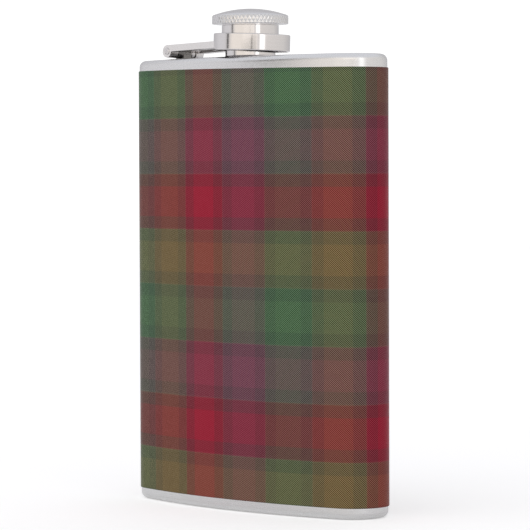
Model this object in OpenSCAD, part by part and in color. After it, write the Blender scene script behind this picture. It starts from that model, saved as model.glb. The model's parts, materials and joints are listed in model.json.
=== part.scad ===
// Curved hip flask with a captive screw cap on a side hinge. Millimetres, +Z up.
// The origin is on the resting face, where the curved centre line of the body crosses
// its middle. The bulging front faces -Y, the width runs along X, and the hinge stands
// on the -X side of the filler neck.

/* [Body] */
// Width of the steel body
body_w = 94.8; // [85:0.2:115]
// Depth of the steel body, front to back
body_d = 20.4; // [20:0.2:26]
// Height of the body, from the resting face to the flat of the shoulder
body_h = 131.4; // [90:0.2:160]
// Radius of the curved centre line of the body, seen from above
curve_r = 146; // [110:1:400]
// Thickness of the steel sheet
sheet = 0.8; // [0.5:0.1:1.2]
// Outer radius of the rounded edge of each pan
edge_r = 1.9; // [1.2:0.1:3.2]
// Height of each pan, from its flat to its weld with the sleeve
pan_h = 6; // [5:0.2:10]

/* [Wrap] */
// Thickness of the vinyl wrap
wrap_t = 0.3; // [0.2:0.05:0.6]
// Bare steel showing below the wrap
bare_base = 3.3; // [2:0.1:4.8]
// Bare steel showing above the wrap
bare_top = 3.5; // [2:0.1:4.8]

/* [Neck] */
// Outer diameter of the filler neck
neck_d = 14.6; // [12:0.1:16]
// Wall of the filler neck
neck_wall = 1.1; // [0.8:0.1:1.6]
// Height of the neck above the shoulder
neck_h = 5.8; // [4:0.1:6]
// How far the neck reaches below the shoulder
neck_root = 2; // [1:0.1:3]
// Distance of the neck behind the centre line of the body
neck_back = 1; // [0:0.1:1.5]

/* [Cap] */
// Wall of the threaded barrel
barrel_wall = 0.65; // [0.5:0.05:1]
// Clear gap all round between the barrel and the neck
barrel_gap = 0.35; // [0.3:0.05:0.5]
// Height of the barrel's lower end above the shoulder
barrel_lift = 2.55; // [2.5:0.05:2.8]
// Diameter of the knurled head
head_d = 22.2; // [19:0.1:26]
// Height of the underside of the head above the shoulder
head_lift = 9.6; // [9.4:0.1:12]
// Height of the knurled band
band_h = 2.6; // [2:0.1:4]
// Rise of the dome above the band
dome_rise = 1.9; // [1:0.1:3]
// Thickness of the seal washer
seal_t = 1.2; // [0.8:0.1:1.6]
// Gap between the barrel and the rim of the seal washer
seal_gap = 0.15; // [0.1:0.05:0.3]
// Flat gap left on each side of the seal washer
seal_play = 0.05; // [0.02:0.01:0.1]
// How far the retaining ring stands out from the barrel
ring_step = 1.15; // [1:0.05:1.3]
// Thickness of the retaining ring
ring_t = 0.8; // [0.5:0.1:1]

/* [Hinge] */
// Distance from the neck's axis to the hinge pin
pivot_reach = 28.7; // [26:0.1:32]
// Height of the hinge pin above the shoulder, at the middle of the pin
pivot_lift = 2.2; // [2.2:0.05:3]
// Sideways lean of the hinge and its arm, in degrees
hinge_lean = 2.2; // [0:0.2:2.6]
// Radius of the round ears of the arm and of the knuckle
ear_r = 1.85; // [1.6:0.05:1.9]
// Radius of the hinge pin
pin_r = 0.75; // [0.5:0.05:0.9]
// Running gap between the pin and the knuckle's bore
pin_gap = 0.08; // [0.05:0.01:0.1]
// Thickness of each ear and side wall of the arm
cheek_t = 3; // [1:0.1:3.2]
// Length of the knuckle along the pin
knuckle_len = 5.3; // [4:0.1:7]
// Length of the knuckle's foot across the pin
foot_len = 3.4; // [2.4:0.1:3.6]
// How far the foot stands back from the knuckle's near end
foot_inset = 2.2; // [0.3:0.1:3]
// Thickness of the spacer washer
washer_t = 1.8; // [0.8:0.1:2.4]
// Side gap between the pieces along the pin
side_gap = 0.1; // [0.05:0.01:0.2]
// Radius of the riveted pin heads
rivet_r = 1.1; // [0.95:0.05:1.3]
// Height of the riveted pin heads
rivet_t = 0.25; // [0.1:0.05:0.4]
// Height of the arm's side walls
arm_h = 2; // [1.6:0.1:2.4]
// Thickness of the arm's top web
web_t = 0.9; // [0.6:0.1:1.2]
// Gap between the knuckle and the edge of the web
web_gap = 0.5; // [0.4:0.1:1]
// Upward slope of the arm towards the cap, in degrees
arm_rise = 1.5; // [0:0.1:2.5]

/* [Collar] */
// Wall of the collar
collar_wall = 0.75; // [0.5:0.05:1]
// Height of the collar
collar_h = 4.9; // [4.4:0.05:5]
// Height of the middle of the collar above the shoulder
collar_lift = 4.2; // [4.1:0.05:4.6]
// Thickness of the collar's top flange
flange_t = 1; // [0.8:0.1:1.2]
// How far the loose collar stands off the cap's axis, away from the hinge
collar_drift = 0.65; // [0:0.05:0.7]
// Downward slope of the collar away from the hinge, in degrees
collar_dip = 1.6; // [0:0.1:1.8]
// Sideways lean of the collar, in degrees
collar_lean = 0.9; // [0:0.1:2.2]
// Gap between the drifted collar and what turns inside it
collar_gap = 0.25; // [0.2:0.05:0.4]
// Small bevel on the collar, the head, the washer and the neck
bevel = 0.3; // [0.1:0.05:0.5]

/* [Hidden] */
$fn = 96;

half_d = body_d / 2;
end_x = body_w / 2 - half_d;
half_angle = asin(end_x / curve_r);
end_y = curve_r * (1 - cos(half_angle));

neck_r = neck_d / 2;
neck_top = body_h + neck_h;

barrel_bore = neck_r + barrel_gap;
barrel_r = barrel_bore + barrel_wall;
barrel_z = body_h + barrel_lift;
head_z = body_h + head_lift;
head_r = head_d / 2;
dome_edge = head_r - bevel;
dome_r = (dome_edge * dome_edge + dome_rise * dome_rise) / (2 * dome_rise);
seal_z = neck_top + seal_play;
boss_z = seal_z + seal_t + seal_play;
ring_r = barrel_r + ring_step;

fork_w = 2 * cheek_t + knuckle_len + washer_t + 3 * side_gap;
knuckle_start = -fork_w / 2 + cheek_t + side_gap;
washer_start = knuckle_start + knuckle_len + side_gap;
washer_r = ear_r - 0.15;

flange_bore = barrel_r + collar_drift + collar_gap;
collar_bore = ring_r + collar_drift + collar_gap + bevel / 6;
collar_r = collar_bore + collar_wall;
arm_len = pivot_reach + collar_drift;

// ---- Helpers ----

// Sweeps a half section (distance from the centre line, height) round the body. Each
// half is a sector of the curve and half a turn round the end, cut off at the middle.
module around_body() {
    spare = 2;
    for (side = [0, 1])
        mirror([side, 0, 0])
            intersection() {
                translate([0, curve_r, 0])
                    rotate([0, 0, half_angle - 90]) {
                        mirror([0, 1, 0])
                            rotate_extrude(angle = half_angle + spare)
                                translate([curve_r, 0]) {
                                    children();
                                    mirror([1, 0]) children();
                                }
                        translate([curve_r, 0, 0])
                            rotate_extrude(angle = 180)
                                children();
                    }
                translate([0, -body_w, -body_h]) cube([body_w, 2 * body_w, 3 * body_h]);
            }
}

// Half section of a solid pan with one rounded lower edge
module pan_block(half, r, h) {
    square([half - r, h]);
    translate([0, r]) square([half, h - r]);
    translate([half - r, r])
        intersection() {
            circle(r);
            translate([0, -r]) square([r, r]);
        }
}

// A pressed pan standing on its flat face
module pan() {
    around_body()
        difference() {
            pan_block(half_d, edge_r, pan_h);
            translate([0, sheet]) pan_block(half_d - sheet, edge_r - sheet, pan_h);
        }
}

// Upright band on the outside of the body between two heights
module band(inner, thick, low, high) {
    around_body()
        translate([inner, low]) square([thick, high - low]);
}

// Frame on the hinge pin: X towards the cap, Y along the pin
module at_pivot() {
    translate([-pivot_reach, neck_back, body_h + pivot_lift])
        rotate([-hinge_lean, 0, 0])
            children();
}

// Frame in the middle of the collar
module at_collar() {
    translate([collar_drift, neck_back, body_h + collar_lift])
        rotate([-collar_lean, collar_dip, 0])
            children();
}

// Round bar along the pin, from one place on it to another
module along_pin(r, start, length) {
    translate([0, start, 0]) rotate([-90, 0, 0]) cylinder(r = r, h = length);
}

// Extrudes a side view (X towards the cap, Y up) across the arm
module across_arm(start, width) {
    translate([0, start + width, 0]) rotate([90, 0, 0]) linear_extrude(width) children();
}

// Half section of a ring with a bevel on its outer corners
module ring_section(inner, outer, h, cut) {
    polygon([[inner, 0], [outer - cut, 0], [outer, cut], [outer, h - cut], [outer - cut, h],
             [inner, h]]);
}

// ---- Body ----

module body_sleeve() {
    color("silver") band(half_d - sheet, sheet, pan_h, body_h - pan_h);
}

module top_pan() {
    color("silver")
        difference() {
            translate([0, 0, body_h]) mirror([0, 0, 1]) pan();
            translate([0, neck_back, body_h - pan_h]) cylinder(r = neck_r, h = 2 * pan_h);
        }
}

module base_pan() {
    color("silver") pan();
}

module vinyl_wrap() {
    color("darkred") band(half_d, wrap_t, bare_base, body_h - bare_top);
}

module filler_neck() {
    color("gainsboro")
        translate([0, neck_back, body_h - neck_root])
            rotate_extrude()
                ring_section(neck_r - neck_wall, neck_r, neck_root + neck_h, bevel);
}

// ---- Hinge ----

module hinge_knuckle() {
    foot_y = knuckle_len - foot_inset - side_gap;
    color("dimgray")
        difference() {
            union() {
                at_pivot() along_pin(ear_r, knuckle_start, knuckle_len);
                translate([-pivot_reach - foot_len / 2,
                           neck_back + knuckle_start + foot_inset, body_h])
                    cube([foot_len, foot_y, pivot_lift]);
            }
            at_pivot() along_pin(pin_r + pin_gap, -fork_w, 2 * fork_w);
        }
}

module hinge_pin() {
    color("lightgray")
        at_pivot() {
            along_pin(pin_r, -fork_w / 2, fork_w);
            for (side = [0, 1])
                mirror([0, side, 0]) along_pin(rivet_r, fork_w / 2, rivet_t);
        }
}

module spacer_washer() {
    color("white")
        at_pivot()
            translate([0, washer_start, 0])
                rotate([-90, 0, 0])
                    rotate_extrude()
                        ring_section(pin_r, washer_r, washer_t, bevel);
}

module hinge_arm() {
    web_start = ear_r + web_gap;
    color("silver")
        difference() {
            at_pivot()
                difference() {
                    rotate([0, -arm_rise, 0])
                        union() {
                            for (start = [-fork_w / 2, fork_w / 2 - cheek_t])
                                across_arm(start, cheek_t) {
                                    circle(ear_r);
                                    translate([0, ear_r - arm_h]) square([arm_len, arm_h]);
                                }
                            across_arm(-fork_w / 2, fork_w)
                                translate([web_start, ear_r - web_t])
                                    square([arm_len - web_start, web_t]);
                        }
                    along_pin(pin_r, -fork_w, 2 * fork_w);
                }
            at_collar() cylinder(r = collar_r, h = 3 * collar_h, center = true);
        }
}

module collar_ring() {
    color("silver")
        at_collar()
            translate([0, 0, -collar_h / 2])
                difference() {
                    rotate_extrude() ring_section(flange_bore, collar_r, collar_h, bevel);
                    translate([0, 0, -flange_t]) cylinder(r = collar_bore, h = collar_h);
                }
}

// ---- Cap ----

module cap_crown() {
    color("gainsboro")
        translate([0, neck_back, 0])
            rotate_extrude() {
                translate([0, boss_z]) square([barrel_bore, head_z - boss_z + bevel]);
                translate([0, head_z]) ring_section(0, head_r, band_h, bevel);
                intersection() {
                    translate([0, head_z + band_h]) square([head_r, dome_rise]);
                    translate([0, head_z + band_h + dome_rise - dome_r]) circle(dome_r, $fn = 400);
                }
            }
}

module cap_barrel() {
    color("gainsboro")
        translate([0, neck_back, barrel_z])
            difference() {
                cylinder(r = barrel_r, h = head_z - barrel_z);
                translate([0, 0, -bevel]) cylinder(r = barrel_bore, h = head_z - barrel_z + 2 * bevel);
            }
}

module retaining_ring() {
    color("silver")
        translate([0, neck_back, barrel_z])
            rotate_extrude()
                translate([barrel_r, 0]) square([ring_step, ring_t]);
}

module seal_washer() {
    color("whitesmoke")
        translate([0, neck_back, seal_z])
            cylinder(r = barrel_bore - seal_gap, h = seal_t);
}

body_sleeve();
top_pan();
base_pan();
vinyl_wrap();
filler_neck();
hinge_knuckle();
hinge_pin();
spacer_washer();
hinge_arm();
collar_ring();
cap_crown();
cap_barrel();
retaining_ring();
seal_washer();
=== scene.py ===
"""Curved hip flask in a tartan vinyl wrap, with a captive screw cap on a side hinge.

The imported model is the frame. Each sub-assembly is a class that models its visible pieces
round the frame's nodes and dresses them. Sizes are in millimetres and meshes in metres.
"""

import json
import logging
import math
from collections.abc import Callable, Sequence
from dataclasses import dataclass, field
from enum import Enum
from typing import Any

import bpy
from mathutils import Matrix, Vector

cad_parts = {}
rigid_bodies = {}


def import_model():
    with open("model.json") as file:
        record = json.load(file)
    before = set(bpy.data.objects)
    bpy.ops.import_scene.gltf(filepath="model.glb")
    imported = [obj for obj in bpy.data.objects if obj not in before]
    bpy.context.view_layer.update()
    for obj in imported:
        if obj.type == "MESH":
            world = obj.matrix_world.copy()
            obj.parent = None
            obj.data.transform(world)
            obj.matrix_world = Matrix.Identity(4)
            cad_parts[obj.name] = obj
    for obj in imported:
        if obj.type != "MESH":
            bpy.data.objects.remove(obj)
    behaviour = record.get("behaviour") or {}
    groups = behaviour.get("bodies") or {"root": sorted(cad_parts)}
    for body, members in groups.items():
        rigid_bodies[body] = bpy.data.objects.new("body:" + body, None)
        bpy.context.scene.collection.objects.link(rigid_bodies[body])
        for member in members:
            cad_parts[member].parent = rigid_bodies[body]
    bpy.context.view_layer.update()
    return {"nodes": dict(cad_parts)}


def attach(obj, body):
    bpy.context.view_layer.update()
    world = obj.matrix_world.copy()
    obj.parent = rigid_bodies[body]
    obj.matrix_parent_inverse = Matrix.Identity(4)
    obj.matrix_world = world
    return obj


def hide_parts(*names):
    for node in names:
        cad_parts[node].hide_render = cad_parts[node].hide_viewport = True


log = logging.getLogger("flask")

MM = 0.001

Object = bpy.types.Object
Point = tuple[float, float]
Shade = tuple[float, float, float]


class Slot(Enum):
    """The material slots of the record."""

    BRUSHED = "brushed_body"
    POLISHED = "polished_steel"
    DARK = "dark_steel"
    VINYL = "tartan_vinyl"
    SEAL = "seal"


class Grain(Enum):
    """Which way the marks of a steel finish run."""

    DRAWN = "along the sheet"
    TURNED = "round the neck's axis"


# ---- Workbench ----


class Bench:
    """The modelling operators, used on one piece at a time."""

    @staticmethod
    def clear() -> None:
        """Leave edit mode and deselect everything."""
        if bpy.context.object is not None and bpy.context.object.mode != "OBJECT":
            bpy.ops.object.mode_set(mode="OBJECT")
        bpy.ops.object.select_all(action="DESELECT")

    @staticmethod
    def take(piece: Object) -> None:
        """Make a piece the only selected one, and the active one."""
        Bench.clear()
        piece.select_set(True)
        bpy.context.view_layer.objects.active = piece

    @staticmethod
    def adopt(name: str) -> Object:
        """Name the primitive just added and put its place into its mesh."""
        piece = bpy.context.object
        piece.name = piece.data.name = name
        bpy.ops.object.transform_apply(location=True, rotation=True, scale=True)
        return piece

    @staticmethod
    def edit(piece: Object, mode: str = "VERT") -> None:
        """Open a piece in edit mode with everything selected."""
        Bench.take(piece)
        bpy.ops.object.mode_set(mode="EDIT")
        bpy.ops.mesh.select_mode(type=mode)
        bpy.ops.mesh.select_all(action="SELECT")

    @staticmethod
    def wire(name: str, points: Sequence[Vector]) -> Object:
        """Draw a line of edges by extruding one corner from point to point.

        Args:
            name: Name of the new piece.
            points: The corners of the line, in metres.

        Returns:
            The line, left in edit mode.
        """
        Bench.clear()
        bpy.ops.mesh.primitive_plane_add(size=MM, location=points[0])
        piece = Bench.adopt(name)
        Bench.edit(piece)
        bpy.ops.mesh.merge(type="CENTER")
        for here, there in zip(points, points[1:]):
            bpy.ops.mesh.extrude_region_move(TRANSFORM_OT_translate={"value": there - here})
        bpy.ops.mesh.select_all(action="SELECT")
        return piece

    @staticmethod
    def close(piece: Object, gap: float = 0.002) -> None:
        """Merge the doubles of a swept mesh and point its faces outwards.

        Args:
            piece: The mesh to close.
            gap: Distance in millimetres within which corners are one.
        """
        Bench.edit(piece)
        bpy.ops.mesh.remove_doubles(threshold=gap * MM)
        bpy.ops.mesh.normals_make_consistent(inside=False)
        Bench.clear()

    @staticmethod
    def revolve(name: str, profile: Sequence[Point], centre: Point, steps: int) -> Object:
        """Spin a profile of (radius, height) round an upright axis.

        Args:
            name: Name of the new piece.
            profile: Corners of the section in millimetres; a ring's section ends where it began.
            centre: Where the axis stands, in millimetres.
            steps: Number of steps in the turn.

        Returns:
            The turned piece.
        """
        x, y = centre
        piece = Bench.wire(name, [Vector((x + r, y, z)) * MM for r, z in profile])
        bpy.ops.mesh.spin(
            steps=steps, angle=math.tau, center=Vector((x, y, 0)) * MM, axis=(0, 0, 1)
        )
        Bench.close(piece)
        return piece

    @staticmethod
    def apply(piece: Object, kind: str, **settings: Any) -> None:
        """Add a modifier, set it and apply it.

        Args:
            piece: The mesh that the modifier shapes.
            kind: The modifier's type.
            **settings: Its settings.
        """
        Bench.take(piece)
        modifier = piece.modifiers.new(kind.title(), kind)
        for key, value in settings.items():
            setattr(modifier, key, value)
        bpy.ops.object.modifier_apply(modifier=modifier.name)
        Bench.clear()

    @staticmethod
    def cut(piece: Object, tool: Object) -> None:
        """Cut a tool's shape out of a piece, and put the tool away."""
        Bench.apply(piece, "BOOLEAN", operation="DIFFERENCE", solver="EXACT", object=tool)
        bpy.data.objects.remove(tool)

    @staticmethod
    def soften(piece: Object, width: float, segments: int = 3, angle: float = 40) -> None:
        """Round the sharp edges of a piece.

        Args:
            piece: The mesh with sharp edges.
            width: Width of the rounding in millimetres.
            segments: Faces across the rounding.
            angle: Edges sharper than this, in degrees, are rounded.
        """
        Bench.apply(
            piece, "BEVEL", width=width * MM, segments=segments, limit_method="ANGLE",
            angle_limit=math.radians(angle), miter_outer="MITER_ARC", harden_normals=False,
        )

    @staticmethod
    def smooth(piece: Object, angle: float = 32) -> None:
        """Shade a piece smooth, its large faces flat, apart from edges sharper than the angle."""
        Bench.take(piece)
        bpy.ops.object.shade_smooth_by_angle(angle=math.radians(angle))
        Bench.apply(piece, "WEIGHTED_NORMAL", keep_sharp=True, weight=80)

    @staticmethod
    def cast(node: Object, name: str) -> Object:
        """Copy a frame node's mesh, with its triangles merged into whole faces.

        Args:
            node: The node to copy.
            name: Name of the copy.

        Returns:
            The copy, which rides on nothing yet.
        """
        piece = bpy.data.objects.new(name, node.data.copy())
        piece.data.name = name
        piece.data.materials.clear()
        bpy.context.scene.collection.objects.link(piece)
        Bench.edit(piece)
        bpy.ops.mesh.customdata_custom_splitnormals_clear()
        bpy.ops.mesh.remove_doubles(threshold=0.002 * MM)
        bpy.ops.mesh.dissolve_limited(angle_limit=math.radians(0.4))
        bpy.ops.mesh.normals_make_consistent(inside=False)
        Bench.clear()
        return piece

    @staticmethod
    def move(piece: Object, place: Callable[[Vector], Vector]) -> None:
        """Move every corner of a piece to the place that a function gives for it."""
        for corner in piece.data.vertices:
            corner.co = place(corner.co.copy())
        piece.data.update()


def arc(centre: Point, radius: float, start: float, end: float, steps: int) -> list[Point]:
    """Points along an arc in a section.

    Args:
        centre: Centre of the arc.
        radius: Its radius.
        start: Angle of its first point in degrees, from the radius axis towards up.
        end: Angle of its last point in degrees.
        steps: Number of steps along it.

    Returns:
        The points, both ends among them.
    """
    angles = [math.radians(start + (end - start) * n / steps) for n in range(steps + 1)]
    return [(centre[0] + radius * math.cos(a), centre[1] + radius * math.sin(a)) for a in angles]


def ease(x: float) -> float:
    """Turn 0 to 1 into a smooth step, flat at both ends."""
    x = min(1.0, max(0.0, x))
    return x * x * (3 - 2 * x)


# ---- Shader graph ----


class Val:
    """A number on its way through a node tree. Sums with it add Math nodes."""

    def __init__(self, tree: bpy.types.NodeTree, socket: bpy.types.NodeSocket) -> None:
        """Keep the tree and the socket that gives the number."""
        self.tree, self.socket = tree, socket

    def math(self, operation: str, *others: "Val | float", swap: bool = False) -> "Val":
        """Add a Math node.

        Args:
            operation: The node's operation.
            *others: Its other numbers.
            swap: Put the first of them before this number.

        Returns:
            The result.
        """
        node = self.tree.nodes.new("ShaderNodeMath")
        node.operation = operation
        terms = [self, *others]
        if swap:
            terms[0], terms[1] = terms[1], terms[0]
        for socket, term in zip(node.inputs, terms):
            if isinstance(term, Val):
                self.tree.links.new(term.socket, socket)
            else:
                socket.default_value = term
        return Val(self.tree, node.outputs[0])

    def __add__(self, other: "Val | float") -> "Val":
        """Sum."""
        return self.math("ADD", other)

    __radd__ = __add__

    def __sub__(self, other: "Val | float") -> "Val":
        """Difference."""
        return self.math("SUBTRACT", other)

    def __rsub__(self, other: float) -> "Val":
        """Difference from a number."""
        return self.math("SUBTRACT", other, swap=True)

    def __mul__(self, other: "Val | float") -> "Val":
        """Product."""
        return self.math("MULTIPLY", other)

    __rmul__ = __mul__

    def __truediv__(self, other: "Val | float") -> "Val":
        """Quotient."""
        return self.math("DIVIDE", other)

    def __abs__(self) -> "Val":
        """Size without sign."""
        return self.math("ABSOLUTE")

    def fract(self) -> "Val":
        """Part after the whole number."""
        return self.math("FRACT")

    def high(self, other: "Val | float") -> "Val":
        """Higher of two."""
        return self.math("MAXIMUM", other)

    def root(self) -> "Val":
        """Square root."""
        return self.math("SQRT")

    def step(self, start: float, end: float) -> "Val":
        """Smooth step from 0 at start to 1 at end."""
        node = self.tree.nodes.new("ShaderNodeMapRange")
        node.interpolation_type = "SMOOTHSTEP"
        self.tree.links.new(self.socket, node.inputs["Value"])
        node.inputs["From Min"].default_value = start
        node.inputs["From Max"].default_value = end
        return Val(self.tree, node.outputs["Result"])


class Graph:
    """The node tree of one material or of the world."""

    def __init__(self, tree: bpy.types.NodeTree) -> None:
        """Start with an empty tree."""
        self.tree = tree
        tree.nodes.clear()

    def add(self, kind: str, sockets: dict[Any, Any] | None = None, **settings: Any) -> Any:
        """Add a node.

        Args:
            kind: The node's type, without its ShaderNode prefix.
            sockets: Its inputs by name or number, each a value or a Val.
            **settings: Its settings, set first; stops gives a ramp's (position, shade) pairs.

        Returns:
            The node.
        """
        node = self.tree.nodes.new("ShaderNode" + kind)
        for key, value in settings.items():
            if key == "stops":
                ramp = node.color_ramp.elements
                while len(ramp) < len(value):
                    ramp.new(1.0)
                for stop, (position, shade) in zip(ramp, value):
                    stop.position, stop.color = position, (*shade, 1.0)
            elif key == "interpolation":
                node.color_ramp.interpolation = value
            else:
                setattr(node, key, value)
        for key, value in (sockets or {}).items():
            if isinstance(value, Val):
                self.tree.links.new(value.socket, node.inputs[key])
            else:
                node.inputs[key].default_value = value
        return node

    def out(self, node: Any, key: str | int = 0) -> Val:
        """An output of a node as a value for sums and sockets."""
        return Val(self.tree, node.outputs[key])

    def place(self) -> tuple[Val, Val, Val]:
        """The point being shaded, in the row frame, in millimetres."""
        parts = self.add("SeparateXYZ", {0: self.out(self.add("TexCoord"), "Object")})
        x, y, z = (self.out(parts, n) / MM for n in range(3))
        return x, y, z

    def vector(self, x: Val | float, y: Val | float, z: Val | float) -> Val:
        """Three numbers as a vector."""
        return self.out(self.add("CombineXYZ", {0: x, 1: y, 2: z}))

    def noise(self, vector: Val, scale: float, detail: float = 2.0, rough: float = 0.5) -> Val:
        """Noise from 0 to 1.

        Args:
            vector: Where it is read.
            scale: Its scale.
            detail: How many finer layers it has.
            rough: How strong they are.

        Returns:
            Its value.
        """
        sockets = {"Vector": vector, "Scale": scale, "Detail": detail, "Roughness": rough}
        return self.out(self.add("TexNoise", sockets), 0)

    def scratch(self, vector: Val) -> Val:
        """Noise of fine marks, about one unit of the vector apart."""
        return self.noise(vector, 1.0, 3.0, 0.6)

    def blend(self, share: Val | float, first: Any, second: Any, kind: str = "MIX") -> Val:
        """Mix two colours or vectors.

        Args:
            share: How much of the second.
            first: First colour, as a shade or a Val.
            second: Second colour.
            kind: The Mix node's blending.

        Returns:
            The mixed colour.
        """
        shades = [c if isinstance(c, Val) else (*c, 1.0) for c in (first, second)]
        node = self.add(
            "Mix", {0: share, 6: shades[0], 7: shades[1]}, data_type="RGBA", blend_type=kind
        )
        return self.out(node, 2)

    def bump(self, height: Val, depth: float) -> Val:
        """Bump from a height between 0 and 1 and its depth in millimetres."""
        return self.out(self.add("Bump", {"Height": height, "Distance": depth * MM}))

    def shader(self, sockets: dict[str, Any]) -> None:
        """Finish a material with a Principled shader and its sockets."""
        surface = self.out(self.add("BsdfPrincipled", sockets))
        self.add("OutputMaterial", {"Surface": surface})


def blank(name: str) -> tuple[bpy.types.Material, Graph]:
    """A new material and its empty node tree."""
    material = bpy.data.materials.new(name)
    material.use_nodes = True
    return material, Graph(material.node_tree)


def printed(red: int, green: int, blue: int) -> Shade:
    """A printed shade, from 0 to 255 a channel, as fractions that are still display values."""
    return red / 255, green / 255, blue / 255


# ---- Finishes ----


@dataclass(frozen=True)
class Steel:
    """Stainless steel with the marks of its last working.

    Pitch and depth of the marks are in millimetres, and scales are cells to the millimetre. The
    marks lie flat where the face's tilt passes from the first level to the second.
    """

    name: str
    shade: Shade
    rough: float
    grain: Grain
    mark_depth: float = 0.002
    mark_pitch: float = 0.16
    mark_run: float = 0.06
    mark_rough: float = 0.12
    level: Point = (0.9, 0.99)
    smudge: float = 0.05
    tint: float = 0.06
    cloud_scale: float = 0.09
    fine_scale: float = 0.7
    least_rough: float = 0.03
    axis: Point = (0.0, 1.0)

    def marks(self, graph: Graph) -> Val:
        """Fine lines along the drawn sheet, or round the turned part."""
        x, y, z = graph.place()
        if self.grain is Grain.TURNED:
            across, along = x - self.axis[0], y - self.axis[1]
            reach = (across * across + along * along).root()
            pitch, run = self.mark_pitch, self.mark_run / 2
            return graph.scratch(graph.vector(reach / pitch, z / pitch, x * run))
        facing = graph.add("SeparateXYZ", {0: graph.out(graph.add("TexCoord"), "Normal")})
        up = abs(graph.out(facing, 2)).step(*self.level)
        flat = graph.vector(x * self.mark_run, y / self.mark_pitch, 0.0)
        side = graph.vector(x * self.mark_run, y * self.mark_run, z / self.mark_pitch)
        return graph.scratch(flat) * up + graph.scratch(side) * (1 - up)

    def build(self) -> bpy.types.Material:
        """The finish as a material."""
        material, graph = blank(self.name)
        lines = self.marks(graph)
        x, y, z = graph.place()
        cloud = graph.noise(graph.vector(x, y, z), self.cloud_scale, 3.0, 0.55)
        fine = graph.noise(graph.vector(x, y, z), self.fine_scale, 2.0, 0.5)
        dark = tuple(c * (1 - 2 * self.tint) for c in self.shade)
        shade = graph.blend((lines - 0.5) * 0.9 + (cloud - 0.5) * 0.5 + 0.5, dark, self.shade)
        smudges = (cloud - 0.5) * self.smudge * 4
        rough = (lines - 0.5) * self.mark_rough + smudges + (fine - 0.5) * self.smudge
        graph.shader({
            "Base Color": shade,
            "Metallic": 1.0,
            "Roughness": (rough + self.rough).high(self.least_rough),
            "Normal": graph.bump(lines, self.mark_depth),
        })
        return material


@dataclass(frozen=True)
class Tartan:
    """Semi-gloss vinyl printed with a tartan of four colours, the same both ways.

    Bands, lines and twill are in millimetres. The shades are mixed as display values, as in
    print, and turned to linear light at the end.
    """

    name: str = "tartan_vinyl"
    bands: tuple[Shade, ...] = (
        printed(69, 102, 68), printed(115, 97, 61), printed(161, 45, 64), printed(119, 71, 87),
    )
    shoulder: Shade = printed(38, 54, 50)
    pale: Shade = printed(150, 150, 120)
    across: float = 16.6
    across_start: float = -49.8
    up: float = 16.27
    up_start: float = -16.3
    centre: float = 8.9
    centre_edge: float = 0.2
    line: float = 0.42
    line_share: float = 0.14
    shoulder_share: float = 0.3
    twill_s: float = 0.667
    twill_z: float = 0.605
    twill_edge: Point = (0.15, 0.85)
    weft_least: float = 0.4
    weft_swing: float = 0.2
    contrast: float = 0.48
    red_calm: float = 1.3
    ink: float = 0.024
    grain_scale: float = 3.0
    grain_shade: float = 0.02
    gamma: float = 2.2
    cloud_scale: float = 0.05
    cloud_rough: float = 0.16
    grain_rough: float = 0.1
    rough: float = 0.26
    gloss: float = 0.035
    weave_rise: float = 0.7
    grain_rise: float = 0.3
    depth: float = 0.006

    def threads(self, graph: Graph, place: Val, start: float, band: float) -> Val:
        """The colours of the threads that run one way.

        Args:
            graph: Tree to build in.
            place: Distance across the threads in millimetres.
            start: Where the first colour begins.
            band: Width of each colour's band.

        Returns:
            The thread colour.
        """
        turn = (place - start) / band
        stops = [(n / len(self.bands), shade) for n, shade in enumerate(self.bands)]
        repeat = (turn / len(self.bands)).fract()
        ramp = graph.add("ValToRGB", {0: repeat}, stops=stops, interpolation="CONSTANT")
        off = abs(turn.fract() - 0.5) * band
        half, soft = self.centre / 2, self.centre_edge
        middle = 1 - off.step(half - soft, half + soft)
        edge = off.step(band / 2 - self.line, band / 2 - self.line / 2)
        shade = graph.blend((1 - middle) * self.shoulder_share, graph.out(ramp), self.shoulder)
        return graph.blend(edge * self.line_share, shade, self.pale)

    def build(self) -> bpy.types.Material:
        """The finish as a material."""
        material, graph = blank(self.name)
        sheet = graph.add("SeparateXYZ", {0: graph.out(graph.add("UVMap", uv_map="sheet"))})
        s, z = graph.out(sheet, 0), graph.out(sheet, 1)
        warp = self.threads(graph, s, self.across_start, self.across)
        weft = self.threads(graph, z, self.up_start, self.up)
        hatch = abs((s / self.twill_s + z / self.twill_z).fract() - 0.5) * 2
        over = hatch.step(*self.twill_edge)
        cloth = graph.blend(over * self.weft_swing + self.weft_least, warp, weft)
        grain = graph.noise(graph.vector(s, z, 0.0), self.grain_scale, 3.0, 0.6)
        dye = graph.add("SeparateXYZ", {0: cloth})
        calm = 1 - (graph.out(dye, 0) - graph.out(dye, 1)).high(0.0) * self.red_calm
        twill = (over - 0.5) * calm * self.contrast
        relief = twill + (grain - 0.5) * self.grain_shade - self.ink
        lit = graph.add("VectorMath", {0: cloth, 1: graph.vector(relief, relief, relief)})
        dyed = graph.add("Gamma", {0: graph.out(lit), 1: self.gamma})
        x, y, height = graph.place()
        cloud = graph.noise(graph.vector(x, y, height), self.cloud_scale, 3.0, 0.5)
        rough = (cloud - 0.5) * self.cloud_rough + (grain - 0.5) * self.grain_rough
        graph.shader({
            "Base Color": graph.out(dyed),
            "Roughness": rough + self.rough,
            "Specular IOR Level": self.gloss,
            "Normal": graph.bump(over * self.weave_rise + grain * self.grain_rise, self.depth),
        })
        return material


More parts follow.
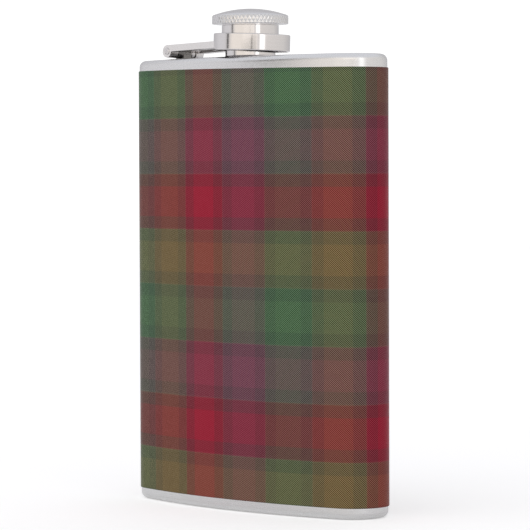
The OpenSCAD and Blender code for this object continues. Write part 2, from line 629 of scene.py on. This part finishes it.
@dataclass(frozen=True)
class Rubber:
    """Pale silicone of the seal."""

    name: str = "seal_silicone"
    shade: Shade = (0.62, 0.61, 0.57)
    rough: float = 0.55
    grain_scale: float = 6.0
    grain_rough: float = 0.2
    grain_depth: float = 0.01
    cloud_scale: float = 0.4
    worn: float = 0.8

    def build(self) -> bpy.types.Material:
        """The finish as a material."""
        material, graph = blank(self.name)
        x, y, z = graph.place()
        grain = graph.noise(graph.vector(x, y, z), self.grain_scale, 3.0, 0.6)
        cloud = graph.noise(graph.vector(x, y, z), self.cloud_scale, 2.0, 0.5)
        worn = tuple(c * self.worn for c in self.shade)
        graph.shader({
            "Base Color": graph.blend((cloud - 0.5) * 1.6 + 0.5, worn, self.shade),
            "Roughness": (grain - 0.5) * self.grain_rough + self.rough,
            "Normal": graph.bump(grain, self.grain_depth),
        })
        return material


@dataclass(frozen=True)
class Finishes:
    """Every finish of the flask, built once."""

    satin: bpy.types.Material = field(default_factory=lambda: Steel(
        "satin_rim_steel", (0.77, 0.77, 0.775), 0.26, Grain.DRAWN,
        mark_depth=0.0002, smudge=0.02, tint=0.02).build())
    arm: bpy.types.Material = field(default_factory=lambda: Steel(
        "pressed_arm_steel", (0.88, 0.86, 0.85), 0.22, Grain.DRAWN,
        smudge=0.03, tint=0.03).build())
    turned: bpy.types.Material = field(default_factory=lambda: Steel(
        "turned_cap_steel", (0.78, 0.76, 0.76), 0.10, Grain.TURNED, mark_depth=0.0012).build())
    dome: bpy.types.Material = field(default_factory=lambda: Steel(
        "lapped_dome_steel", (0.76, 0.755, 0.76), 0.2, Grain.TURNED, mark_depth=0.0015).build())
    dark: bpy.types.Material = field(default_factory=lambda: Steel(
        "dark_knuckle_steel", (0.30, 0.29, 0.28), 0.28, Grain.DRAWN, tint=0.12).build())
    tartan: bpy.types.Material = field(default_factory=lambda: Tartan().build())
    seal: bpy.types.Material = field(default_factory=lambda: Rubber().build())


@dataclass
class Assembly:
    """A group of pieces on one or more bodies of the frame."""

    nodes: dict[str, Object]
    finishes: Finishes

    def seat(
        self, piece: Object, body: str, slot: Slot, finish: bpy.types.Material, *nodes: str
    ) -> Object:
        """Dress a finished piece and fix it to its body.

        Args:
            piece: The finished mesh.
            body: Body of the frame that it rides on.
            slot: The record's slot for its finish; not used.
            finish: Its material.
            *nodes: Frame nodes that it stands for.

        Returns:
            The piece.
        """
        piece.data.materials.clear()
        piece.data.materials.append(finish)
        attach(piece, body)
        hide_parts(*nodes)
        log.info("%s: %d faces, rides on %s", piece.name, len(piece.data.polygons), body)
        return piece

    def dress(self, node: str, finish: bpy.types.Material) -> None:
        """Give a frame node that stays its finish."""
        mesh = self.nodes[node].data
        mesh.materials.clear()
        mesh.materials.append(finish)
        log.info("%s: kept, in %s", node, finish.name)


# ---- Body ----


@dataclass(frozen=True)
class Plan:
    """The curved plan of the body from above, bulging towards -Y, in millimetres."""

    curve_r: float = 146.0
    end_x: float = 37.2
    half: float = 10.2
    wrap: float = 0.3

    @property
    def lean(self) -> float:
        """Angle of the curve from its middle to an end centre."""
        return math.asin(self.end_x / self.curve_r)

    @property
    def end_y(self) -> float:
        """How far the end centres lie behind the middle."""
        return self.curve_r * (1 - math.cos(self.lean))

    @property
    def girth(self) -> float:
        """Length of the wrap's face once round."""
        out = self.half + self.wrap
        return 2 * (2 * self.curve_r * self.lean + math.pi * out)

    def point(self, s: float, out: float) -> Point:
        """A point on the outside.

        Args:
            s: Distance along the wrap from the middle of the front, towards +X.
            out: Distance from the centre line.

        Returns:
            Its place from above.
        """
        face = self.half + self.wrap
        side, s = math.copysign(1, s), abs(s)
        front = (self.curve_r + face) * self.lean
        if s < front:
            a = s / (self.curve_r + face)
            reach = self.curve_r + out
            return side * reach * math.sin(a), self.curve_r - reach * math.cos(a)
        s -= front
        if s < math.pi * face:
            a = self.lean + s / face
            return side * (self.end_x + out * math.sin(a)), self.end_y - out * math.cos(a)
        a = self.lean - (s - math.pi * face) / (self.curve_r - face)
        reach = self.curve_r - out
        return side * reach * math.sin(a), self.curve_r - reach * math.cos(a)

    def sweep(self, name: str, section: Sequence[Point]) -> Object:
        """Sweep a half section round the plan by spins about its three centres.

        Args:
            name: Name of the new piece.
            section: Corners (distance from the centre line, height) in millimetres.

        Returns:
            The swept piece.
        """
        piece = Bench.wire(name, [Vector((0, -r, z)) * MM for r, z in section])
        arc_centre = Vector((0, self.curve_r, 0)) * MM
        turns = [(arc_centre, self.lean, 20)]
        for side in (1, -1):
            end = Vector((side * self.end_x, self.end_y, 0)) * MM
            turns += [(end, math.pi, 40), (arc_centre, -2 * self.lean, 40)]
        turns[-1] = (arc_centre, self.lean, 20)
        for centre, angle, steps in turns:  # a spin turns clockwise about its axis
            bpy.ops.mesh.spin(steps=steps, angle=-angle, center=centre, axis=(0, 0, 1))
        Bench.close(piece)
        return piece


@dataclass
class Body(Assembly):
    """The steel shell and its vinyl wrap."""

    plan: Plan = Plan()
    height: float = 131.4
    sheet: float = 0.8
    edge_r: float = 1.9
    pan_h: float = 6.0
    hole: Point = (0.0, 1.0)
    hole_r: float = 7.3
    bare_base: float = 3.28
    bare_top: float = 3.5
    slant_top: float = 0.4
    slant_base: float = 0.18
    overlap: float = 7.0
    lap_rise: float = 1.2
    sheet_edge: float = 0.09
    columns: int = 300
    rows: int = 6

    def pan(self, name: str, flat: float, way: int) -> Object:
        """Model a pressed pan with a rounded edge.

        Args:
            name: Name of the piece.
            flat: Height of its flat face.
            way: 1 where the pan stands on its flat, -1 where it hangs from it.

        Returns:
            The pan, with its sheet's thickness.
        """
        half, r = self.plan.half, self.edge_r
        edge = [(x, flat + way * z) for x, z in arc((half - r, r), r, -90, 0, 10)]
        section = [(0.0, flat), (half * 0.45, flat), *edge, (half, flat + way * self.pan_h)]
        piece = self.plan.sweep(name, section)
        Bench.apply(piece, "SOLIDIFY", thickness=self.sheet * MM, offset=-1.0)
        return piece

    def drill(self, pan: Object) -> None:
        """Cut the filler hole in the top pan."""
        Bench.clear()
        bpy.ops.mesh.primitive_cylinder_add(
            vertices=128, radius=self.hole_r * MM, depth=self.pan_h * MM,
            location=Vector((*self.hole, self.height)) * MM,
        )
        Bench.cut(pan, Bench.adopt("drill"))

    def wrap_point(self, flat: Vector) -> Vector:
        """Where a point of the flat vinyl sheet (distance round, share of height) ends up."""
        s, share = flat.x, flat.y
        seam = self.plan.girth / 2
        out = self.plan.half + self.plan.wrap * (1 + ease(s - seam + self.lap_rise))
        wave = math.tau * s / self.plan.girth
        low = self.bare_base + self.slant_base * math.cos(wave)
        high = self.height - self.bare_top - self.slant_top * math.sin(wave)
        x, y = self.plan.point(s, out)
        return Vector((x, y, low + (high - low) * share))

    def wrap(self) -> Object:
        """Wrap a flat printed sheet round the body, its end lapped over its start at the back."""
        length = self.plan.girth + self.overlap
        Bench.clear()
        bpy.ops.mesh.primitive_grid_add(
            x_subdivisions=self.columns, y_subdivisions=self.rows, size=1.0
        )
        sheet = Bench.adopt("wrap_sheet")
        print_map = sheet.data.uv_layers[0]
        print_map.name = "sheet"
        Bench.move(sheet, lambda p: self.wrap_point(
            Vector(((p.x + 0.5) * length - self.plan.girth / 2, p.y + 0.5, 0))) * MM)
        for loop, spot in zip(sheet.data.loops, print_map.data):
            height = sheet.data.vertices[loop.vertex_index].co.z / MM
            spot.uv = (spot.uv.x * length - self.plan.girth / 2, height)
        Bench.apply(sheet, "SOLIDIFY", thickness=self.plan.wrap * MM, offset=-1.0)
        Bench.soften(sheet, self.sheet_edge, 2, 60)
        return sheet

    def build(self) -> None:
        """Model and dress the shell and its wrap."""
        base = self.pan("base_shell", 0.0, 1)
        top = self.pan("top_shell", self.height, -1)
        self.drill(top)
        wrap = self.wrap()
        for piece in (base, top, wrap):
            Bench.smooth(piece)
        satin = self.finishes.satin
        self.seat(base, "flask", Slot.BRUSHED, satin, "base_pan")
        self.seat(top, "flask", Slot.BRUSHED, satin, "top_pan")
        self.seat(wrap, "flask", Slot.VINYL, self.finishes.tartan, "vinyl_wrap")
        self.dress("body_sleeve", satin)


# ---- Neck and cap ----


@dataclass(frozen=True)
class Thread:
    """One round thread ridge, right-handed, in millimetres."""

    pitch: float = 1.25
    turns: int = 2
    width: float = 0.7
    fade: float = 0.5
    root: float = 0.12
    hide: float = 0.02

    def ridge(self, name: str, wall: float, crest: float, start: float, axis: Point) -> Object:
        """Model a ridge that winds up a round wall and runs out into it at both ends.

        Args:
            name: Name of the new piece.
            wall: Radius of the wall.
            crest: Radius of the ridge's crest, inside or outside the wall.
            start: Height of the ridge's lower end.
            axis: Where the axis of the wall stands.

        Returns:
            The ridge.
        """
        root = wall - math.copysign(self.root, crest - wall)
        half = self.width / 2
        section = [(root, -half), (wall, -half * 0.8), (crest, -half * 0.25),
                   (crest, half * 0.25), (wall, half * 0.8), (root, half), (root, -half)]
        piece = Bench.wire(name, [Vector((r, 0, start + z)) * MM for r, z in section])
        bpy.ops.mesh.remove_doubles(threshold=0.001 * MM)
        Bench.apply(piece, "SCREW", angle=math.tau, screw_offset=self.pitch * MM,
                    iterations=self.turns, steps=72, render_steps=72, axis="Z")
        Bench.edit(piece)
        bpy.ops.mesh.fill_holes(sides=8)
        Bench.clear()
        Bench.move(piece, lambda p: self.run_out(p, wall, start, axis))
        Bench.close(piece, 0.0005)
        Bench.edit(piece)
        bpy.ops.mesh.flip_normals()
        Bench.clear()
        return piece

    def run_out(self, corner: Vector, wall: float, start: float, axis: Point) -> Vector:
        """Sink a corner of the ridge into the wall near its two ends, and stand it on the axis."""
        radius = corner.xy.length / MM
        turn = (math.atan2(corner.y, corner.x) / math.tau) % 1.0
        climb = (corner.z / MM - start) / self.pitch
        wound = round(climb - turn) + turn
        left = min(wound, self.turns - wound)
        proud = (radius - wall) * ease(left / self.fade) if left < self.fade else radius - wall
        if left < self.fade:
            proud -= math.copysign(self.hide, radius - wall) * (1 - ease(left / self.fade))
        flat = corner.xy.normalized() * (wall + proud) * MM
        return Vector((flat.x + axis[0] * MM, flat.y + axis[1] * MM, corner.z))


@dataclass
class Neck(Assembly):
    """The threaded filler neck with its weld and rounded lip."""

    axis: Point = (0.0, 1.0)
    outer: float = 7.3
    bore: float = 6.2
    foot: float = 129.4
    shoulder: float = 131.4
    top: float = 137.2
    lip: float = 0.35
    weld: float = 0.55
    weld_root: float = 0.4
    weld_toe: float = 0.1
    thread: Thread = Thread()
    crest: float = 7.5
    thread_start: float = 133.6

    def build(self) -> None:
        """Model and dress the neck."""
        weld = arc((self.outer + self.weld, self.shoulder + self.weld), self.weld, 270, 180, 6)
        lip = arc((self.outer - self.lip, self.top - self.lip), self.lip, 0, 90, 5)
        inner = arc((self.bore + self.lip, self.top - self.lip), self.lip, 90, 180, 5)
        section = [(self.bore, self.foot), (self.outer, self.foot),
                   (self.outer, self.shoulder - self.weld_root),
                   (self.outer + self.weld, self.shoulder - self.weld_toe),
                   *weld, *lip, *inner, (self.bore, self.foot)]
        neck = Bench.revolve("neck_tube", section, self.axis, 128)
        ridge = self.thread.ridge(
            "neck_thread", self.outer, self.crest, self.thread_start, self.axis)
        for piece in (neck, ridge):
            Bench.smooth(piece)
        self.seat(neck, "flask", Slot.POLISHED, self.finishes.turned, "filler_neck")
        self.seat(ridge, "flask", Slot.POLISHED, self.finishes.turned)


@dataclass
class Cap(Assembly):
    """The knurled, domed cap with its threaded barrel, retaining ring and seal."""

    axis: Point = (0.0, 1.0)
    bore: float = 7.65
    barrel_r: float = 8.3
    barrel_z: float = 133.95
    head_z: float = 141.0
    head_r: float = 11.1
    band_h: float = 2.6
    bevel: float = 0.3
    lower_bevel: float = 0.08
    dome_rise: float = 1.9
    boss_z: float = 138.5
    boss_cut: float = 0.25
    rim_r: float = 0.2
    groove_h: float = 0.45
    groove_t: float = 0.12
    ring_r: float = 9.45
    ring_t: float = 0.8
    ring_cut: float = 0.15
    seal_z: float = 137.25
    seal_r: float = 7.5
    seal_t: float = 1.2
    dish_r: float = 5.2
    seat_r: float = 5.6
    dish_t: float = 0.12
    knurls: int = 60
    knurl_slant: float = 0.55
    knurl_depth: float = 0.11
    knurl_open: float = 0.62
    knurl_fade: float = 0.12
    knurl_least: float = 0.15
    band_rows: int = 24
    thread: Thread = Thread()
    thread_crest: float = 7.5
    thread_start: float = 134.3

    def knurl(self, corner: Vector) -> Vector:
        """Press the crossed grooves of the knurl into a corner of the band."""
        spot = corner / MM - Vector((*self.axis, 0))
        low, high = self.head_z + self.lower_bevel, self.head_z + self.band_h - self.bevel
        if spot.xy.length < self.head_r - 0.01 or not low - 0.01 < spot.z < high + 0.01:
            return corner
        round_by = math.atan2(spot.y, spot.x) / math.tau * self.knurls
        climb = (spot.z - low) * self.knurl_slant * self.knurls / (math.tau * self.head_r)
        cut = 0.0
        for way in (1, -1):
            off = abs((round_by + way * climb) % 1.0 - 0.5) * 2
            cut = max(cut, 1 - off / self.knurl_open)
        inside = min(spot.z - low, high - spot.z)  # the grooves grow shallow at both edges
        fade = min(1.0, inside / self.knurl_fade + self.knurl_least)
        reach = 1 - self.knurl_depth * cut * fade / self.head_r
        spot.x, spot.y = spot.x * reach, spot.y * reach
        return (spot + Vector((*self.axis, 0))) * MM

    def crown(self) -> Object:
        """Model the head: boss, flat underside, knurled band and dome."""
        edge, top = self.head_r - self.bevel, self.head_z + self.band_h
        rise = self.dome_rise
        dome_r = (edge * edge + rise * rise) / (2 * rise)
        side = math.degrees(math.asin(edge / dome_r))
        dome = arc((0.0, top + rise - dome_r), dome_r, 90 - side, 90, 16)
        low, high = self.head_z + self.lower_bevel, top - self.bevel
        rows, cut = self.band_rows, self.boss_cut
        band = [(self.head_r, low + (high - low) * n / rows) for n in range(rows + 1)]
        section = [(0.0, self.boss_z), (self.bore - cut, self.boss_z),
                   (self.bore, self.boss_z + cut), (self.bore, self.head_z),
                   (self.head_r - self.lower_bevel, self.head_z),
                   *band, *dome[:-1], (0.0, top + rise)]
        head = Bench.revolve("cap_head", section, self.axis, self.knurls * 10)
        Bench.move(head, self.knurl)
        return head

    def barrel(self) -> Object:
        """Model the barrel, its lower rim rounded, with a shallow groove under the head."""
        r, deep = self.rim_r, self.groove_t
        foot = [*arc((self.bore + r, self.barrel_z + r), r, 180, 270, 4),
                *arc((self.barrel_r - r, self.barrel_z + r), r, -90, 0, 4)]
        neck = self.head_z - self.groove_h
        section = [(self.bore, self.head_z), *foot, (self.barrel_r, neck),
                   (self.barrel_r - deep, neck + deep), (self.barrel_r - deep, self.head_z),
                   (self.bore, self.head_z)]
        return Bench.revolve("barrel_tube", section, self.axis, 128)

    def build(self) -> None:
        """Model and dress the cap and the seal."""
        crown, barrel = self.crown(), self.barrel()
        ridge = self.thread.ridge(
            "barrel_thread", self.bore, self.thread_crest, self.thread_start, self.axis)
        inner, outer = self.barrel_r, self.ring_r
        foot, high, cut = self.barrel_z, self.barrel_z + self.ring_t, self.ring_cut
        ring = Bench.revolve("snap_ring", [
            (inner, foot), (outer - cut, foot), (outer, foot + cut), (outer, high - cut),
            (outer - cut, high), (inner, high), (inner, foot)], self.axis, 128)
        low, flat = self.seal_z, self.seal_z + self.seal_t
        r, dish = self.rim_r, low + self.dish_t
        rim = [*arc((self.seal_r - r, low + r), r, -90, 0, 4),
               *arc((self.seal_r - r, flat - r), r, 0, 90, 4)]
        seal = Bench.revolve("seal_disc", [
            (0.0, dish), (self.dish_r, dish), (self.seat_r, low), *rim, (0.0, flat)],
            self.axis, 96)
        for piece in (crown, barrel, ridge, ring, seal):
            Bench.smooth(piece)
        turned = self.finishes.turned
        self.seat(crown, "cap", Slot.POLISHED, self.finishes.dome, "cap_crown")
        self.seat(barrel, "cap", Slot.POLISHED, turned, "cap_barrel")
        self.seat(ridge, "cap", Slot.POLISHED, turned)
        self.seat(ring, "cap", Slot.POLISHED, turned, "retaining_ring")
        self.seat(seal, "seal", Slot.SEAL, self.finishes.seal, "seal_washer")


# ---- Hinge and collar ----


@dataclass
class Hinge(Assembly):
    """The knuckle, pin, spacer, arm and collar that keep the cap on the flask."""

    axis: Point = (0.0, 1.0)
    shoulder: float = 131.4
    lean: float = 0.9
    drift: float = 0.65
    dip: float = 1.6
    lift: float = 4.2
    height: float = 4.9
    flange_bore: float = 9.2
    bore: float = 10.4
    outer: float = 11.15
    flange_t: float = 1.0
    bevel: float = 0.3
    lip_cut: float = 0.15
    ledge_cut: float = 0.2
    arm_edge: float = 0.3
    knuckle_edge: float = 0.18
    pin_edge: float = 0.12
    washer_edge: float = 0.1
    groove_r: float = 0.52
    groove_t: float = 0.12
    dimple_r: float = 0.2

    def collar(self) -> Object:
        """Model the loose collar with its top flange, leaning as it hangs."""
        low, high, cut = -self.height / 2, self.height / 2, self.bevel
        ledge = high - self.flange_t
        section = [(self.bore, low), *arc((self.outer - cut, low + cut), cut, -90, 0, 4),
                   *arc((self.outer - cut, high - cut), cut, 0, 90, 4),
                   (self.flange_bore + self.lip_cut, high),
                   (self.flange_bore, high - self.lip_cut),
                   (self.flange_bore, ledge), (self.bore - self.ledge_cut, ledge),
                   (self.bore, ledge - self.ledge_cut), (self.bore, low)]
        ring = Bench.revolve("collar_shell", section, (0.0, 0.0), 144)
        stand = Vector((self.axis[0] + self.drift, self.axis[1], self.shoulder + self.lift)) * MM
        turn = (Matrix.Rotation(math.radians(self.dip), 4, "Y")
                @ Matrix.Rotation(math.radians(-self.lean), 4, "X"))
        ring.data.transform(Matrix.Translation(stand) @ turn)
        return ring

    def rounded(self, node: str, name: str, width: float) -> Object:
        """A copy of a frame node with its sharp edges rounded.

        Args:
            node: The node to copy.
            name: Name of the copy.
            width: Width of the rounding in millimetres.

        Returns:
            The copy.
        """
        piece = Bench.cast(self.nodes[node], name)
        Bench.soften(piece, width, 3, 40)
        return piece

    def rivet(self) -> Object:
        """The pin, with a ring groove and a dimple pressed into each end."""
        pin = self.rounded("hinge_pin", "pin_rivet", self.pin_edge)
        spots = [corner.co.copy() for corner in pin.data.vertices]
        low, high = (Vector([pick(p[n] for p in spots) for n in range(3)]) for pick in (min, max))
        middle = (low + high) / 2
        for end in (low.y, high.y):
            place = Vector((middle.x, end, middle.z))
            Bench.clear()
            bpy.ops.mesh.primitive_torus_add(
                location=place, rotation=(math.pi / 2, 0, 0), major_segments=48,
                minor_segments=12, major_radius=self.groove_r * MM,
                minor_radius=self.groove_t * MM)
            Bench.cut(pin, Bench.adopt("groove"))
            Bench.clear()
            bpy.ops.mesh.primitive_uv_sphere_add(
                location=place, segments=32, ring_count=16, radius=self.dimple_r * MM)
            Bench.cut(pin, Bench.adopt("dimple"))
        return pin

    def build(self) -> None:
        """Model and dress the hinge and the collar."""
        arm = self.rounded("hinge_arm", "arm_channel", self.arm_edge)
        knuckle = self.rounded("hinge_knuckle", "knuckle_block", self.knuckle_edge)
        pin = self.rivet()
        washer = self.rounded("spacer_washer", "spacer_ring", self.washer_edge)
        collar = self.collar()
        for piece in (arm, knuckle, pin, washer, collar):
            Bench.smooth(piece)
        self.seat(arm, "arm", Slot.BRUSHED, self.finishes.arm, "hinge_arm")
        self.seat(collar, "arm", Slot.POLISHED, self.finishes.turned, "collar_ring")
        self.seat(pin, "arm", Slot.POLISHED, self.finishes.turned, "hinge_pin")
        self.seat(washer, "arm", Slot.POLISHED, self.finishes.turned, "spacer_washer")
        self.seat(knuckle, "flask", Slot.DARK, self.finishes.dark, "hinge_knuckle")


# ---- Studio ----


@dataclass
class Studio:
    """Pale floor, soft light all round and the camera.

    Shades give the light at bearings in degrees from the camera, positive to the right. Each dark
    card is its bearing, half width, foot, top and strength. The low dark figure behind the camera
    is made of parts, each its middle, inner and outer edge as shares of a turn, and its strength.
    Heights on the sky are sines of the elevation. Matt surfaces get less light from the right, and
    the floor looks brighter to the camera than it shines on the flask.
    """

    bearing: float = math.degrees(0.80353)
    distance: float = 887.58
    height: float = 99.72
    lens: float = 207.0
    pitch: float = 0.0324
    yaw: float = -0.00535
    roll: float = -0.00373
    floor_r: float = 3000.0
    shades: tuple[tuple[float, Shade], ...] = (
        (-180, (0.56, 0.55, 0.57)), (-150, (0.60, 0.59, 0.61)), (-118, (0.80, 0.79, 0.81)),
        (-95, (0.82, 0.81, 0.83)), (-80, (0.74, 0.72, 0.72)),
        (-71, (0.84, 0.80, 0.77)), (-62, (1.08, 1.01, 0.93)), (-34, (1.08, 1.01, 0.93)),
        (-25, (1.26, 1.18, 1.09)), (14, (1.22, 1.15, 1.08)), (18, (0.90, 0.86, 0.84)),
        (22, (0.90, 0.86, 0.84)), (25, (1.65, 1.63, 1.6)), (37, (1.65, 1.63, 1.6)),
        (42, (0.90, 0.86, 0.83)),
        (110, (0.80, 0.78, 0.76)), (150, (0.58, 0.57, 0.58)),
        (180, (0.56, 0.55, 0.57)),
    )
    ceiling: Shade = (0.80, 0.81, 0.85)
    figure_top: float = 0.031
    figure_edge: float = 0.004
    figure: tuple[tuple[float, float, float, float], ...] = (
        (0.475, 0.05, 0.075, 0.38), (0.4985, 0.002, 0.011, 0.72),
    )
    cards: tuple[tuple[float, float, float, float, float], ...] = (
        (-77.5, 3.8, 0.034, 0.2, 0.92), (-80, 6.0, 0.13, 0.5, 0.85),
    )
    card_edges: Point = (480.0, 280.0)
    card_foot: float = 0.005
    card_top: float = 0.1
    ceiling_from: Point = (0.35, 0.75)
    backdrop: Shade = (1.1, 1.1, 1.1)
    shade_side: float = 0.9
    shade_from: Point = (0.2, 0.8)
    floor_shade: float = 0.8
    floor_rough: float = 0.9
    floor_gloss: float = 0.1
    floor_glow: float = 0.45
    floor_cast: float = 0.45
    floor_seen: float = 1.0

    def camera(self) -> None:
        """Stand the camera at the viewing angle."""
        turn = math.radians(self.bearing)
        place = Vector((self.distance * math.sin(turn), -self.distance * math.cos(turn),
                        self.height)) * MM
        a, p = turn + self.yaw, self.pitch
        ahead = Vector((-math.sin(a) * math.cos(p), math.cos(a) * math.cos(p), -math.sin(p)))
        right = Vector((math.cos(a), math.sin(a), 0))
        up = right.cross(ahead)
        c, s = math.cos(self.roll), math.sin(self.roll)
        right, up = c * right + s * up, c * up - s * right
        data = bpy.data.cameras.new("camera")
        data.lens, data.sensor_width = self.lens, 36.0
        data.clip_start, data.clip_end = 0.05, 20.0
        camera = bpy.data.objects.new("camera", data)
        axes = Matrix((right, up, -ahead)).transposed().to_4x4()
        camera.matrix_world = Matrix.Translation(place) @ axes
        bpy.context.scene.collection.objects.link(camera)
        bpy.context.scene.camera = camera

    def light(self) -> None:
        """Surround the flask with soft panels, narrow dark gaps and a pale ceiling."""
        world = bpy.data.worlds.new("studio")
        world.use_nodes = True
        bpy.context.scene.world = world
        graph = Graph(world.node_tree)
        way = graph.add("SeparateXYZ", {0: graph.out(graph.add("TexCoord"), "Generated")})
        x, y, z = (graph.out(way, n) for n in range(3))
        turn = math.radians(self.bearing)
        ahead = x * math.sin(turn) - y * math.cos(turn)
        right = x * math.cos(turn) + y * math.sin(turn)
        angle = right.math("ARCTAN2", ahead) / math.tau + 0.5
        stops = [(degrees / 360 + 0.5, shade) for degrees, shade in self.shades]
        panels = graph.add("ValToRGB", {0: angle}, stops=stops, interpolation="LINEAR")
        low = 1 - z.step(self.figure_top - self.figure_edge, self.figure_top + self.figure_edge)
        bright = math.prod(
            1 - low * (1 - abs(angle - middle).step(inner, outer)) * strength
            for middle, inner, outer, strength in self.figure)
        narrow, wide = self.card_edges
        for centre, half, foot, top, strength in self.cards:
            across = 1 - abs(angle - (centre / 360 + 0.5)).step(half / narrow, half / wide)
            tall = z.step(foot, foot + self.card_foot) * (1 - z.step(top, top + self.card_top))
            bright = bright * (1 - across * tall * strength)
        room = graph.blend(bright, (0.0, 0.0, 0.0), graph.out(panels))
        sky = graph.blend(z.step(*self.ceiling_from), room, self.ceiling)
        ray = graph.add("LightPath")
        shade = graph.blend(graph.out(ray, "Is Camera Ray"), sky, self.backdrop)
        side = right.step(*self.shade_from)
        glow = 1 - graph.out(ray, "Is Diffuse Ray") * side * self.shade_side
        lit = graph.out(graph.add("VectorMath", {0: shade, "Scale": glow}, operation="SCALE"))
        back = graph.out(graph.add("Background", {"Color": lit, "Strength": 1.0}))
        graph.add("OutputWorld", {"Surface": back})

    def floor(self) -> None:
        """Lay a pale round floor."""
        Bench.clear()
        bpy.ops.mesh.primitive_circle_add(
            vertices=96, radius=self.floor_r * MM, fill_type="NGON", location=(0, 0, 0))
        floor = Bench.adopt("studio_floor")
        material, graph = blank("studio_floor")
        seen = graph.out(graph.add("LightPath"), "Is Camera Ray")
        cast, shown = (self.floor_cast,) * 3, (self.floor_seen,) * 3
        graph.shader({
            "Base Color": (*(self.floor_shade,) * 3, 1.0),
            "Roughness": self.floor_rough,
            "Specular IOR Level": self.floor_gloss,
            "Emission Color": graph.blend(seen, cast, shown),
            "Emission Strength": self.floor_glow,
        })
        floor.data.materials.append(material)

    def build(self) -> None:
        """Set up the camera, light and floor."""
        bpy.context.scene.view_settings.view_transform = "Standard"
        self.camera()
        self.light()
        self.floor()


def main() -> None:
    """Build the flask round its frame and stand it in the studio."""
    logging.basicConfig(level=logging.INFO, format="%(name)s: %(message)s")
    for leftover in list(bpy.data.objects):
        bpy.data.objects.remove(leftover)
    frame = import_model()
    finishes = Finishes()
    for assembly in (Body, Neck, Cap, Hinge):
        assembly(frame["nodes"], finishes).build()
    Studio().build()
    bpy.context.view_layer.update()


if __name__ == "__main__":
    main()
